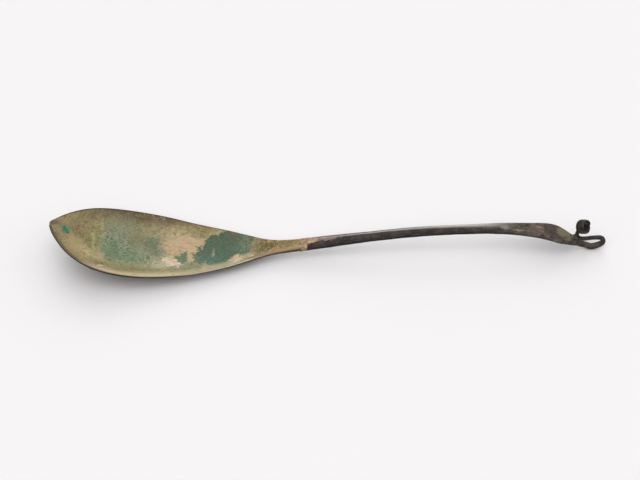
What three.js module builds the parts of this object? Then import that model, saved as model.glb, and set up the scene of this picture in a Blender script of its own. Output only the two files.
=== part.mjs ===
// A bronze table spoon of an early East Asian kind: a shallow leaf-shaped bowl, hammered thin, and
// a long arched handle. The handle widens into a flat blade, which is drawn out to a wire, bent
// round into a hanging eye and rolled up at its end.
//
// Millimetres, +Z up. X runs along the spoon from the bowl's tip to the eye and Y across it. The
// spoon lies on the table, the plane Z = 0, on the keel of its bowl and on the bottom of its eye.
import * as THREE from "three";

// Lengths along the spoon.
const BOWL_LENGTH = 93.2;
const NECK_LENGTH = 21;
const SOLDER_LENGTH = 1.2;
const SHAFT_LENGTH = 90;
const BLADE_LENGTH = 36;

// The bowl.
const BOWL_WIDTH = 43.4;
const BOWL_DEPTH = 7.4; // from the rims down to the bottom of the hollow
const RIM_THICKNESS = 1.2;
const TIP_WIDTH = 4.2;
const TIP_SKEW = 3.8; // the point has worn to one side
const SKEW_LENGTH = 5; // how soon that dies away behind the tip
const DISH_POWER = 2.2; // 2 is a round-bottomed dish, more is a flatter one
const KEEL_WEAR = 0.35; // how deep the keel has worn flat where it lies on the table

// The neck and the handle.
const HEEL_WIDTH = 13.5;
const HEEL_THICKNESS = 2;
const HEEL_DEPTH = 1.7;
const NECK_WIDTH = 5.9;
const NECK_THICKNESS = 4;
const SHAFT_WIDTH = 4.4;
const SHAFT_THICKNESS = 3.5;
const BLADE_WIDTH = 11.4;
const BLADE_THICKNESS = 1.8;
const BLADE_END_WIDTH = 3.4;
const BLADE_END_THICKNESS = 2.6;

// The slanted soldered joint between neck and shaft.
const SOLDER_BEAD = 0.15; // how far the bead stands out of the bar
const SCARF_SLOPE = 1.1; // run of the joint along the bar for each millimetre of its height

// Heights of the underside above the table.
const TIP_HEIGHT = 19.4;
const HEEL_HEIGHT = 2.9;
const NECK_HEIGHT = 5.1;
const CREST_HEIGHT = 13;
const BLADE_END_HEIGHT = 2.5;

// The eye and the scroll, in wire that grows thinner and is flattened to a strip.
const EYE_LENGTH = 12.4;
const EYE_HEIGHT = 8.1;
const EYE_TOE = 1; // how far the eye's end lifts off the table
const EYE_LEAN = 0.4; // how far its lower strand stands to one side
const EYE_WIRE = 2.7;
const EYE_WEAR = 0.1; // how deep its bottom has worn flat
const END_WIRE = 2.2;
const SCROLL_RISE = 13.9; // the scroll's axis above the table
const SCROLL_DIAMETER = 6.4;
const SCROLL_WIDTH = 3.7;
const SCROLL_STRIP = 1.1; // thickness of the rolled strip
const SCROLL_PITCH = 1.5; // from one turn of the strip to the next
const SCROLL_TURNS = 1.5;
const SCROLL_AXIS = new THREE.Vector3(0.79, -0.46, 0.4).normalize();

// Shares of the wire's length, up to where it starts to flatten: between the first two it draws
// down from EYE_WIRE to END_WIRE, and from the third on it twists towards the scroll.
const DRAW_START = 0.2;
const DRAW_END = 0.7;
const TWIST_START = 0.75;

// Points round one section of each solid, and the steps between its sections.
const BOWL_POINTS = 32;
const BAR_POINTS = 20;
const WIRE_POINTS = 16;
const BOWL_STEPS = 44;
const TIP_CROWDING = 1.5; // over 1, the bowl's sections stand closer near the tip
const NECK_STEPS = 12;
const SHAFT_STEPS = 24;
const BLADE_STEPS = 20;
const EYE_STEPS = 40;
const SCROLL_STEPS = 36;

// Points of the wire's line in one turn of the scroll, those that its strip takes to spread to its
// full width, and the steps in which the line is measured from one point to the next.
const TURN_POINTS = 12;
const LEAD_POINTS = 2;
const MEASURED_STEPS = 20;

// Where each length starts, from the bowl's tip.
const neckStart = BOWL_LENGTH;
const solderStart = neckStart + NECK_LENGTH;
const shaftStart = solderStart + SOLDER_LENGTH;
const bladeStart = shaftStart + SHAFT_LENGTH;
const bladeEnd = bladeStart + BLADE_LENGTH;

// Places at a share of the way along each length.
const onBowl = (share) => share * BOWL_LENGTH;
const onNeck = (share) => neckStart + share * NECK_LENGTH;
const onShaft = (share) => shaftStart + share * SHAFT_LENGTH;
const onBlade = (share) => bladeStart + share * BLADE_LENGTH;

// A smooth curve through [place, value] pairs, as a function of the place.
function through(...pairs) {
  const curve = new THREE.CubicInterpolant(
    pairs.map((pair) => pair[0]),
    pairs.map((pair) => pair[1]),
    1,
  );
  return (place) => curve.evaluate(place)[0];
}

const widthAt = through(
  [0, TIP_WIDTH],
  [onBowl(0.05), 0.415 * BOWL_WIDTH],
  [onBowl(0.1), 0.64 * BOWL_WIDTH],
  [onBowl(0.17), 0.84 * BOWL_WIDTH],
  [onBowl(0.25), 0.955 * BOWL_WIDTH],
  [onBowl(0.36), BOWL_WIDTH],
  [onBowl(0.48), 0.967 * BOWL_WIDTH],
  [onBowl(0.6), 0.874 * BOWL_WIDTH],
  [onBowl(0.72), 0.736 * BOWL_WIDTH],
  [onBowl(0.86), 0.551 * BOWL_WIDTH],
  [neckStart, HEEL_WIDTH],
  [onNeck(0.25), (HEEL_WIDTH + NECK_WIDTH) / 2],
  [onNeck(0.5), 0.2 * HEEL_WIDTH + 0.82 * NECK_WIDTH],
  [solderStart, NECK_WIDTH],
  [onShaft(0.12), 0.6 * NECK_WIDTH + 0.46 * SHAFT_WIDTH],
  [onShaft(0.3), 1.06 * SHAFT_WIDTH],
  [onShaft(0.55), SHAFT_WIDTH],
  [onShaft(0.8), SHAFT_WIDTH],
  [bladeStart, 1.36 * SHAFT_WIDTH],
  [onBlade(0.35), 0.73 * BLADE_WIDTH],
  [onBlade(0.6), 0.955 * BLADE_WIDTH],
  [onBlade(0.69), BLADE_WIDTH],
  [onBlade(0.8), 0.83 * BLADE_WIDTH],
  [onBlade(0.9), 0.53 * BLADE_WIDTH],
  [bladeEnd, BLADE_END_WIDTH],
);
const thicknessAt = through(
  [0, RIM_THICKNESS],
  [onBowl(0.75), RIM_THICKNESS],
  [neckStart, HEEL_THICKNESS],
  [solderStart, NECK_THICKNESS],
  [onShaft(0.3), 1.04 * SHAFT_THICKNESS],
  [onShaft(0.8), SHAFT_THICKNESS],
  [bladeStart, 0.8 * SHAFT_THICKNESS],
  [onBlade(0.35), 1.15 * BLADE_THICKNESS],
  [onBlade(0.6), BLADE_THICKNESS],
  [onBlade(0.8), BLADE_THICKNESS],
  [bladeEnd, BLADE_END_THICKNESS],
);
const depthAt = through(
  [0, 0],
  [onBowl(0.08), 0.45 * BOWL_DEPTH],
  [onBowl(0.2), 0.86 * BOWL_DEPTH],
  [onBowl(0.37), BOWL_DEPTH],
  [onBowl(0.55), 0.94 * BOWL_DEPTH],
  [onBowl(0.7), 0.8 * BOWL_DEPTH],
  [onBowl(0.85), 0.57 * BOWL_DEPTH],
  [neckStart, HEEL_DEPTH],
  [onNeck(0.6), 0],
  [solderStart, 0],
  [bladeEnd, 0],
);
const undersideAt = through(
  [0, TIP_HEIGHT],
  [onBowl(0.08), 0.72 * TIP_HEIGHT],
  [onBowl(0.2), 0.407 * TIP_HEIGHT],
  [onBowl(0.37), 0.157 * TIP_HEIGHT],
  [onBowl(0.55), 0.03 * TIP_HEIGHT],
  [onBowl(0.7), -KEEL_WEAR],
  [onBowl(0.85), 0.2 * HEEL_HEIGHT],
  [neckStart, HEEL_HEIGHT],
  [onNeck(0.5), 0.35 * HEEL_HEIGHT + 0.63 * NECK_HEIGHT],
  [solderStart, NECK_HEIGHT],
  [onShaft(0.3), 0.705 * CREST_HEIGHT],
  [onShaft(0.55), 0.9 * CREST_HEIGHT],
  [onShaft(0.8), 0.98 * CREST_HEIGHT],
  [bladeStart, CREST_HEIGHT],
  [onBlade(0.35), 0.93 * CREST_HEIGHT],
  [onBlade(0.6), 0.81 * CREST_HEIGHT],
  [onBlade(0.71), 0.69 * CREST_HEIGHT],
  [onBlade(0.8), 0.56 * CREST_HEIGHT],
  [onBlade(0.9), 0.38 * CREST_HEIGHT],
  [bladeEnd, BLADE_END_HEIGHT],
);
// How square the section's corners are: 2 is an ellipse, more is a bar with rounded edges.
const squarenessAt = through(
  [0, 6],
  [onBowl(0.8), 6],
  [neckStart, 4],
  [solderStart, 3.2],
  [bladeStart, 3.2],
  [onBlade(0.5), 4],
  [bladeEnd, 2.2],
);
const skewAt = (place) => TIP_SKEW * Math.exp(-place / SKEW_LENGTH);

// The line of the rims, seen from the side, and its direction.
function spineAt(place) {
  const height = undersideAt(place) + depthAt(place) + thicknessAt(place) / 2;
  return new THREE.Vector3(place, skewAt(place), height);
}
function directionAt(place) {
  const step = 0.2;
  const before = spineAt(Math.max(place - step, 0));
  const after = spineAt(Math.min(place + step, bladeEnd));
  return after.sub(before).setY(0).normalize();
}

// Points round a superellipse of width and height 1, as [across, up] pairs.
function sectionPoints(count, squareness) {
  return Array.from({ length: count }, (_, i) => {
    const angle = (2 * Math.PI * i) / count;
    const across = Math.cos(angle);
    const edge = Math.pow(1 - Math.abs(across) ** squareness, 1 / squareness);
    return [across / 2, (Math.sign(Math.sin(angle)) * edge) / 2];
  });
}

// A closed ring of points round a section of the bar, square to its spine. lean slants it along
// the spoon, and grow stands it out of the bar.
function barRing(place, count, lean = 0, grow = 0) {
  const centre = spineAt(place);
  const along = directionAt(place);
  const upward = new THREE.Vector3(-along.z, 0, along.x);
  const width = widthAt(place) + 2 * grow;
  const thickness = thicknessAt(place) + 2 * grow;
  return sectionPoints(count, squarenessAt(place)).map(([across, up]) => {
    const dish = depthAt(place) * (1 - Math.abs(2 * across) ** DISH_POWER);
    const rise = up * thickness - dish;
    const point = centre
      .clone()
      .addScaledVector(upward, rise)
      .addScaledVector(along, lean * rise);
    point.y += across * width;
    return point;
  });
}

// A closed solid over a row of rings, all with the same number of points.
function loft(rings) {
  const count = rings[0].length;
  const corners = rings.flat().flatMap((point) => [point.x, point.y, point.z]);
  const faces = [];
  const quad = (a, b, c, d) => faces.push(a, b, c, a, c, d);
  for (let r = 0; r < rings.length - 1; r++) {
    for (let i = 0; i < count; i++) {
      const next = (i + 1) % count;
      quad(r * count + i, r * count + next, (r + 1) * count + next, (r + 1) * count + i);
    }
  }
  const last = (rings.length - 1) * count;
  for (let i = 1; i < count / 2; i++) {
    const [low, lowNext] = [count - i, (count - i + count - 1) % count];
    if (i === 1) {
      faces.push(0, low, 1, last, last + 1, last + low);
    }
    if (i < count / 2 - 1) {
      quad(i, low, lowNext, i + 1);
      quad(last + i, last + i + 1, last + lowNext, last + low);
    } else {
      faces.push(i, low, i + 1, last + i, last + i + 1, last + low);
    }
  }
  const geometry = new THREE.BufferGeometry();
  geometry.setAttribute("position", new THREE.Float32BufferAttribute(corners, 3));
  geometry.setIndex(faces);
  geometry.computeVertexNormals();
  return geometry;
}

// Places from start to end, closer together near the start when power is over 1.
function places(start, end, steps, power = 1) {
  return Array.from({ length: steps + 1 }, (_, i) => start + (end - start) * (i / steps) ** power);
}

const finishes = {
  yellowBronze: new THREE.MeshStandardMaterial({ color: 0x9c8a63, roughness: 0.6, metalness: 0.6 }),
  solder: new THREE.MeshStandardMaterial({ color: 0xa88d6a, roughness: 0.75, metalness: 0.3 }),
  darkBronze: new THREE.MeshStandardMaterial({ color: 0x3d3833, roughness: 0.4, metalness: 0.7 }),
};

function piece(name, rings, finish) {
  const mesh = new THREE.Mesh(loft(rings), finishes[finish]);
  mesh.name = name;
  return mesh;
}

// The rings, flat where they rest on the table.
function wornFlat(rings) {
  return rings.map((ring) => ring.map((point) => point.setZ(Math.max(point.z, 0))));
}

function bowl() {
  const rings = places(0, neckStart, BOWL_STEPS, TIP_CROWDING).map((place) => barRing(place, BOWL_POINTS));
  return piece("bowl", wornFlat(rings), "yellowBronze");
}

function neck() {
  const rings = places(neckStart, solderStart, NECK_STEPS).map((place) =>
    barRing(place, BAR_POINTS, (SCARF_SLOPE * (place - neckStart)) / NECK_LENGTH),
  );
  return piece("neck", rings, "yellowBronze");
}

function solderSeam() {
  const bevel = 0.15 * SOLDER_LENGTH;
  const rings = [
    barRing(solderStart, BAR_POINTS, SCARF_SLOPE),
    barRing(solderStart + bevel, BAR_POINTS, SCARF_SLOPE, SOLDER_BEAD),
    barRing(shaftStart - bevel, BAR_POINTS, SCARF_SLOPE, SOLDER_BEAD),
    barRing(shaftStart, BAR_POINTS, SCARF_SLOPE),
  ];
  return piece("solder_seam", rings, "solder");
}

function shaft() {
  const rings = places(shaftStart, bladeStart, SHAFT_STEPS).map((place) =>
    barRing(place, BAR_POINTS, SCARF_SLOPE * Math.max(0, 1 - (place - shaftStart) / NECK_LENGTH)),
  );
  return piece("handle_shaft", rings, "darkBronze");
}

function blade() {
  const rings = places(bladeStart, bladeEnd, BLADE_STEPS).map((place) => barRing(place, BAR_POINTS));
  return piece("handle_blade", rings, "darkBronze");
}

// The wire's line. It runs on from the blade's end, down to the table, round the eye and back over
// the blade, and up the stem.
function eyePoints() {
  const start = spineAt(bladeEnd);
  const low = EYE_WIRE / 2 - EYE_WEAR;
  const high = EYE_HEIGHT - END_WIRE / 2;
  const at = (share, y, z) => new THREE.Vector3(start.x + share * EYE_LENGTH, y, z);
  const bend = (high - low - EYE_TOE) / 2; // radius of the eye's round end
  const round = (degrees) => {
    const angle = THREE.MathUtils.degToRad(degrees);
    const lean = (EYE_LEAN * (1 - Math.sin(angle))) / 2;
    const offset = new THREE.Vector3(bend * (Math.cos(angle) - 1), lean, bend * Math.sin(angle));
    return at(0.87, 0, high - bend).add(offset);
  };
  return [
    start,
    at(0.2, 0.75 * EYE_LEAN, low + 1.35),
    at(0.42, EYE_LEAN, low),
    at(0.56, EYE_LEAN, low + 0.2),
    ...[-75, -45, -15, 15, 45, 75].map(round),
    at(0.58, 0, high),
    at(0.4, 0, high - 0.15),
    at(0.16, 0, high - 0.5),
    at(0.02, 0, high - 0.3),
    at(-0.09, 0.3, high + 0.5),
    at(-0.12, 1.3, high + 1.2),
    at(-0.03, 2.8, high + 2.1),
    at(0.15, 3.5, high + 4.3),
  ];
}

// Then it winds inwards round the scroll, up the far side first.
function scrollPoints() {
  const centre = new THREE.Vector3(bladeEnd + 0.07 * EYE_LENGTH, 0, SCROLL_RISE);
  const up = new THREE.Vector3(0, 0, 1).addScaledVector(SCROLL_AXIS, -SCROLL_AXIS.z).normalize();
  const back = new THREE.Vector3().crossVectors(up, SCROLL_AXIS);
  const outside = (SCROLL_DIAMETER - SCROLL_STRIP + SCROLL_PITCH) / 2;
  return Array.from({ length: SCROLL_TURNS * TURN_POINTS + 1 }, (_, i) => {
    const turn = i / TURN_POINTS;
    const angle = 2 * Math.PI * turn;
    const radius = outside - SCROLL_PITCH * turn;
    return centre
      .clone()
      .addScaledVector(back, radius * Math.cos(angle))
      .addScaledVector(up, radius * Math.sin(angle));
  });
}

const eyeLine = eyePoints();
const wire = new THREE.CatmullRomCurve3([...eyeLine, ...scrollPoints()]);

// The share of the wire's length that lies before one of its points.
function shareAt(index) {
  const lengths = wire.getLengths((wire.points.length - 1) * MEASURED_STEPS);
  return lengths[index * MEASURED_STEPS] / lengths.at(-1);
}
const stemShare = shareAt(eyeLine.length - 2); // where the wire starts to flatten
const thinShare = shareAt(eyeLine.length); // where it is as thin as the strip
const rollShare = shareAt(eyeLine.length + LEAD_POINTS); // where the strip has its full width

// A ring round the wire, at a share of its length.
function wireRing(share) {
  const { lerp, smoothstep } = THREE.MathUtils;
  const centre = wire.getPointAt(share);
  const along = wire.getTangentAt(share);
  const turn = smoothstep(share, TWIST_START * stemShare, thinShare);
  const thin = smoothstep(share, stemShare, thinShare);
  const wide = smoothstep(share, stemShare, rollShare);
  const drawn = smoothstep(share, DRAW_START * stemShare, DRAW_END * stemShare);
  const wireWidth = lerp(EYE_WIRE, END_WIRE, drawn);
  const width = lerp(wireWidth, SCROLL_WIDTH, wide);
  const thickness = lerp(wireWidth, SCROLL_STRIP, thin);
  const side = new THREE.Vector3(0, 1, 0).lerp(SCROLL_AXIS.clone().negate(), turn);
  side.addScaledVector(along, -side.dot(along)).normalize();
  const upward = new THREE.Vector3().crossVectors(along, side).normalize();
  return sectionPoints(WIRE_POINTS, lerp(2, 3, wide)).map(([across, up]) =>
    centre
      .clone()
      .addScaledVector(side, across * width)
      .addScaledVector(upward, up * thickness),
  );
}

function eye() {
  const rings = places(0, stemShare, EYE_STEPS).map(wireRing);
  rings[0] = barRing(bladeEnd, WIRE_POINTS);
  return piece("hanging_eye", wornFlat(rings), "darkBronze");
}

function scroll() {
  return piece("rolled_scroll", places(stemShare, 1, SCROLL_STEPS).map(wireRing), "darkBronze");
}

const spoon = new THREE.Group();
spoon.add(bowl(), neck(), solderSeam(), shaft(), blade(), eye(), scroll());

// The origin is under the middle of the spoon, on the table.
const middle = new THREE.Box3().setFromObject(spoon).getCenter(new THREE.Vector3());
spoon.position.set(-middle.x, -middle.y, 0);

export default spoon;
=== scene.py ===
"""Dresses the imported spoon: a hammered bowl with its neck, the solder of the joint and a forged handle.

Everything is in metres, in the frame of the CAD: X runs along the spoon from the bowl's tip to the
hanging eye, Y across it and Z up from the table that it lies on.
"""
import math

import bmesh
import bpy
import numpy as np
from mathutils import Matrix, Vector, noise


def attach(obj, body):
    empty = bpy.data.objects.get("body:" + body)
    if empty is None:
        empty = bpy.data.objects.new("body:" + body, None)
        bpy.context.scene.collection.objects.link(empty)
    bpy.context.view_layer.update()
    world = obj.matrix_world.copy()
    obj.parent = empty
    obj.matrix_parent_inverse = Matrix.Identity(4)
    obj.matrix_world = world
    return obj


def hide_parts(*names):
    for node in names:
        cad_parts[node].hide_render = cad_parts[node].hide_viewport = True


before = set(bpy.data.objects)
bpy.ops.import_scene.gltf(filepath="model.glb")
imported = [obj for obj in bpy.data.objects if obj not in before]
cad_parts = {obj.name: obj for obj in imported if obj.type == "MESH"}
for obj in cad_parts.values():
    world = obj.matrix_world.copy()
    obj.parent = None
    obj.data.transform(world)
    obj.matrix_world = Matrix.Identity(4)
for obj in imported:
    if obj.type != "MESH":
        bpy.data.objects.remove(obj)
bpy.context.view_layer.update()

MM = 0.001
X_AXIS = Vector((1, 0, 0))
Y_AXIS = Vector((0, 1, 0))
Z_AXIS = Vector((0, 0, 1))


# Camera and light

# The camera looks down on the spoon from the near side, a little from its left.
CAMERA_TILT = 45.0
CAMERA_TURN = -1.9
CAMERA_DISTANCE = 0.9
PIXELS_PER_METRE = 2178
PICTURE_WIDTH = 640
SENSOR_WIDTH = 36.0
ORIGIN_PIXEL = (330.1, 255.0)
PICTURE_CENTRE = (320.0, 240.0)


def add_camera():
    settings = bpy.data.cameras.new("camera")
    camera = bpy.data.objects.new("camera", settings)
    bpy.context.scene.collection.objects.link(camera)
    camera.rotation_euler = (math.radians(CAMERA_TILT), 0, math.radians(CAMERA_TURN))
    camera.location = camera.rotation_euler.to_matrix() @ Vector((0, 0, CAMERA_DISTANCE))
    settings.sensor_width = SENSOR_WIDTH
    settings.lens = PIXELS_PER_METRE * CAMERA_DISTANCE * SENSOR_WIDTH / PICTURE_WIDTH
    settings.shift_x = (PICTURE_CENTRE[0] - ORIGIN_PIXEL[0]) / PICTURE_WIDTH
    settings.shift_y = (ORIGIN_PIXEL[1] - PICTURE_CENTRE[1]) / PICTURE_WIDTH
    bpy.context.scene.camera = camera


# The tent of white sheets round the table: where each sheet stands and how strongly it shines.
SHEET_WIDTH = 50.0
SHEETS = (
    ("front_sheet", (0, -0.56, 0.83), 0.9),
    ("front_left_sheet", (-0.52, -0.45, 0.72), 0.47),
    ("front_right_sheet", (0.52, -0.45, 0.72), 0.26),
    ("right_sheet", (0.8, 0, 0.6), 0.3),
    ("back_sheet", (0, 0.78, 0.63), 0.88),
    ("back_right_sheet", (0.6, 0.5, 0.6), 0.25),
    ("top_sheet", (0, 0, 1), 0.68),
)


def add_sheets():
    """Broad soft lights, as of lamps behind large white sheets."""
    for name, towards, strength in SHEETS:
        settings = bpy.data.lights.new(name, "SUN")
        settings.energy = strength
        settings.angle = math.radians(SHEET_WIDTH)
        lamp = bpy.data.objects.new(name, settings)
        lamp.rotation_euler = Vector(towards).to_track_quat("Z", "Y").to_euler()
        bpy.context.scene.collection.objects.link(lamp)


# Shading helpers


def srgb(red, green, blue):
    """A colour written in steps of 255, as the nodes take it."""
    def linear(step):
        share = step / 255
        return share / 12.92 if share <= 0.04045 else ((share + 0.055) / 1.055) ** 2.4
    return (linear(red), linear(green), linear(blue), 1)


class Nodes:
    """A node tree that is being laid out: most calls add one node and give back its output."""

    def __init__(self, tree):
        self.tree = tree

    def add(self, kind, inputs=None, output=0, **settings):
        node = self.tree.nodes.new(kind)
        for name, value in settings.items():
            setattr(node, name, value)
        self.feed(node, inputs or {})
        return node.outputs[output]

    def feed(self, node, inputs):
        """Links each input to the output that is given for it, or sets it to the value that is."""
        for name, value in inputs.items():
            if isinstance(value, bpy.types.NodeSocket):
                self.tree.links.new(value, node.inputs[name])
            else:
                node.inputs[name].default_value = value

    def math(self, operation, *values, clamp=False):
        return self.add("ShaderNodeMath", dict(enumerate(values)), operation=operation, use_clamp=clamp)

    def vector(self, operation, *values):
        return self.add("ShaderNodeVectorMath", dict(enumerate(values)), operation=operation)

    def parts(self, vector):
        node = self.tree.nodes.new("ShaderNodeSeparateXYZ")
        self.tree.links.new(vector, node.inputs[0])
        return node.outputs

    def smooth(self, value, low, high):
        """0 at low and 1 at high, with a soft step between; low may be above high."""
        inputs = {"Value": value, "From Min": low, "From Max": high}
        return self.add("ShaderNodeMapRange", inputs, interpolation_type="SMOOTHSTEP")

    def level(self, value, low, high):
        """Spreads a value of 0 to 1 from low to high."""
        return self.add("ShaderNodeMapRange", {"Value": value, "To Min": low, "To Max": high})

    def mix(self, share, below, above):
        inputs = {0: share, 6: below, 7: above}
        return self.add("ShaderNodeMix", inputs, output=2, data_type="RGBA")

    def noise(self, place, size, detail=4.0, rough=0.55):
        inputs = {"Vector": place, "Scale": 1 / size, "Detail": detail, "Roughness": rough}
        return self.add("ShaderNodeTexNoise", inputs)

    def swirl(self, place, size, reach):
        """The place, pushed about by a noise, so that what is laid on it gets a ragged outline."""
        inputs = {"Vector": place, "Scale": 1 / size, "Detail": 3.0, "Roughness": 0.6}
        push = self.add("ShaderNodeTexNoise", inputs, output=1)
        push = self.vector("SUBTRACT", push, (0.5, 0.5, 0.5))
        return self.vector("MULTIPLY_ADD", push, (reach, reach, reach), place)

    def shade(self, colour, factor):
        return self.add("ShaderNodeVectorMath", {0: colour, "Scale": factor}, operation="SCALE")

    def times(self, first, *others):
        for other in others:
            first = self.math("MULTIPLY", first, other)
        return first

    def group(self, group, **inputs):
        node = self.tree.nodes.new("ShaderNodeGroup")
        node.node_tree = group
        self.feed(node, inputs)
        return node.outputs[0]

    def millimetres(self):
        """The place on the piece, in millimetres."""
        place = self.add("ShaderNodeTexCoord", output="Object")
        return self.add("ShaderNodeVectorMath", {0: place, "Scale": 1000.0}, operation="SCALE")

    def weight(self, group):
        """The weight of one of the piece's vertex groups."""
        return self.add("ShaderNodeAttribute", output="Fac", attribute_name=group)


def new_group(name, inputs, output):
    """A shader node group with named inputs, each a (name, kind, default), and one output."""
    tree = bpy.data.node_groups.new(name, "ShaderNodeTree")
    for label, kind, default in inputs:
        socket = tree.interface.new_socket(label, in_out="INPUT", socket_type="NodeSocket" + kind)
        if default is not None:
            socket.default_value = default
    tree.interface.new_socket(output, in_out="OUTPUT", socket_type="NodeSocketFloat")
    start = tree.nodes.new("NodeGroupInput").outputs
    end = tree.nodes.new("NodeGroupOutput").inputs
    return Nodes(tree), start, lambda value: tree.links.new(value, end[0])


def ragged_patch_group():
    """A patch with a ragged edge, round Centre, reaching Reach to each side of it."""
    sheet, given, put_out = new_group("ragged_patch", [
        ("Place", "Vector", None),
        ("Centre", "Vector", None),
        ("Reach", "Vector", (1, 1, 1)),
        ("Ragged", "Float", 0.4),
        ("Grain", "Float", 4.0),
        ("Soft", "Float", 0.1),
    ], "Mask")
    offset = sheet.vector("SUBTRACT", given["Place"], given["Centre"])
    offset = sheet.vector("DIVIDE", offset, given["Reach"])
    away = sheet.add("ShaderNodeVectorMath", {0: offset}, output="Value", operation="LENGTH")
    shifted = sheet.vector("ADD", given["Place"], given["Centre"])
    scale = sheet.math("DIVIDE", 1.0, given["Grain"])
    grain = {"Vector": shifted, "Scale": scale, "Detail": 5.0, "Roughness": 0.62}
    rough = sheet.add("ShaderNodeTexNoise", grain)
    swing = sheet.math("MULTIPLY", sheet.math("SUBTRACT", rough, 0.5), given["Ragged"])
    edge = sheet.math("MULTIPLY_ADD", swing, 4.0, away)
    inner = sheet.math("SUBTRACT", 1.0, given["Soft"])
    outer = sheet.math("ADD", 1.0, given["Soft"])
    put_out(sheet.smooth(edge, outer, inner))
    return sheet.tree


def speckle_group():
    """Small scattered spots: Share says how much of the surface they take."""
    sheet, given, put_out = new_group("speckle", [
        ("Place", "Vector", None),
        ("Size", "Float", 1.0),
        ("Share", "Float", 0.3),
        ("Soft", "Float", 0.06),
    ], "Mask")
    scale = sheet.math("DIVIDE", 1.0, given["Size"])
    spots = {"Vector": given["Place"], "Scale": scale, "Detail": 3.0, "Roughness": 0.6}
    field = sheet.add("ShaderNodeTexNoise", spots)
    line = sheet.math("SUBTRACT", 0.75, sheet.math("MULTIPLY", given["Share"], 0.5))
    below = sheet.math("SUBTRACT", line, given["Soft"])
    above = sheet.math("ADD", line, given["Soft"])
    put_out(sheet.smooth(field, below, above))
    return sheet.tree


SCRATCH_SLANT = 0.6


def scratches_group():
    """Fine scratches that run along X, crossed by a few slanted ones."""
    sheet, given, put_out = new_group("scratches", [
        ("Place", "Vector", None),
        ("Width", "Float", 0.3),
        ("Length", "Float", 12.0),
    ], "Mask")
    across = sheet.math("DIVIDE", 1.0, given["Width"])
    along = sheet.math("DIVIDE", 1.0, given["Length"])
    stretch = sheet.add("ShaderNodeCombineXYZ", {0: along, 1: across, 2: across})
    drawn = sheet.vector("MULTIPLY", given["Place"], stretch)
    slant = {"Vector": given["Place"], "Angle": SCRATCH_SLANT}
    turned = sheet.add("ShaderNodeVectorRotate", slant, rotation_type="Z_AXIS")
    slanted = sheet.vector("MULTIPLY", turned, stretch)
    fine = sheet.add("ShaderNodeTexNoise", {"Vector": drawn, "Scale": 1.0, "Detail": 2.0})
    cross = sheet.add("ShaderNodeTexNoise", {"Vector": slanted, "Scale": 1.0, "Detail": 2.0})
    put_out(sheet.math("MAXIMUM", sheet.smooth(fine, 0.56, 0.74), sheet.smooth(cross, 0.66, 0.8)))
    return sheet.tree


def new_material(name):
    material = bpy.data.materials.new(name)
    material.use_nodes = True
    return material, Nodes(material.node_tree), material.node_tree.nodes["Principled BSDF"]


# Colours and finishes

BRASS = srgb(176, 161, 123)
BRASS_WARM = srgb(166, 145, 105)
BRASS_OLIVE = srgb(124, 114, 76)
BRASS_LIGHT = srgb(226, 212, 178)
BRASS_GOLD = srgb(200, 180, 134)
BRASS_PALE = srgb(186, 174, 136)
OLIVE_DARK = srgb(84, 84, 56)
YELLOW_GREEN = srgb(146, 150, 100)
GREY_GREEN = srgb(138, 144, 116)
LEAF_GREEN = srgb(92, 120, 86)
SPECK_GREEN = srgb(64, 90, 66)
DARK_GREEN = srgb(82, 101, 80)
BLUE_GREEN = srgb(80, 116, 104)
TURQUOISE = srgb(58, 154, 116)
VEIN_YELLOW = srgb(178, 170, 120)
ROSE = srgb(214, 168, 148)
PINK_TAN = srgb(192, 166, 132)
NECK_GOLD = srgb(182, 150, 92)
# Duller brown painted on the near side of the neck as painted shade.
NECK_SHADE_BROWN = srgb(160, 134, 104)
PINK_WHITE = srgb(230, 210, 186)
RUST = srgb(146, 92, 72)
TIP_GREY = srgb(112, 94, 74)
# Brown of the bowl's underside, also laid on the far inner wall as painted shade.
SHADE_AND_UNDERSIDE_BROWN = srgb(76, 62, 40)
RIM_BROWN = srgb(56, 44, 32)
UNDER_BROWN = srgb(110, 94, 66)
# Painted highlight on the rounded lip of the near rim, towards the neck.
LIP_HIGHLIGHT = srgb(240, 226, 194)
EDGE_TAN = srgb(160, 140, 108)
# Light tans of the near inner wall, painted light.
NEAR_LIT_TAN = srgb(248, 222, 184)
NEAR_LIT_PALE = srgb(240, 230, 194)
TAN_PATCH = srgb(212, 182, 148)

# How the kinds of patch are told apart where they lie over each other.
CRUST_KINDS = {"plain": (0, 0, 0, 1), "green": (1, 0, 0, 1), "pink": (0, 1, 0, 1)}

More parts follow.
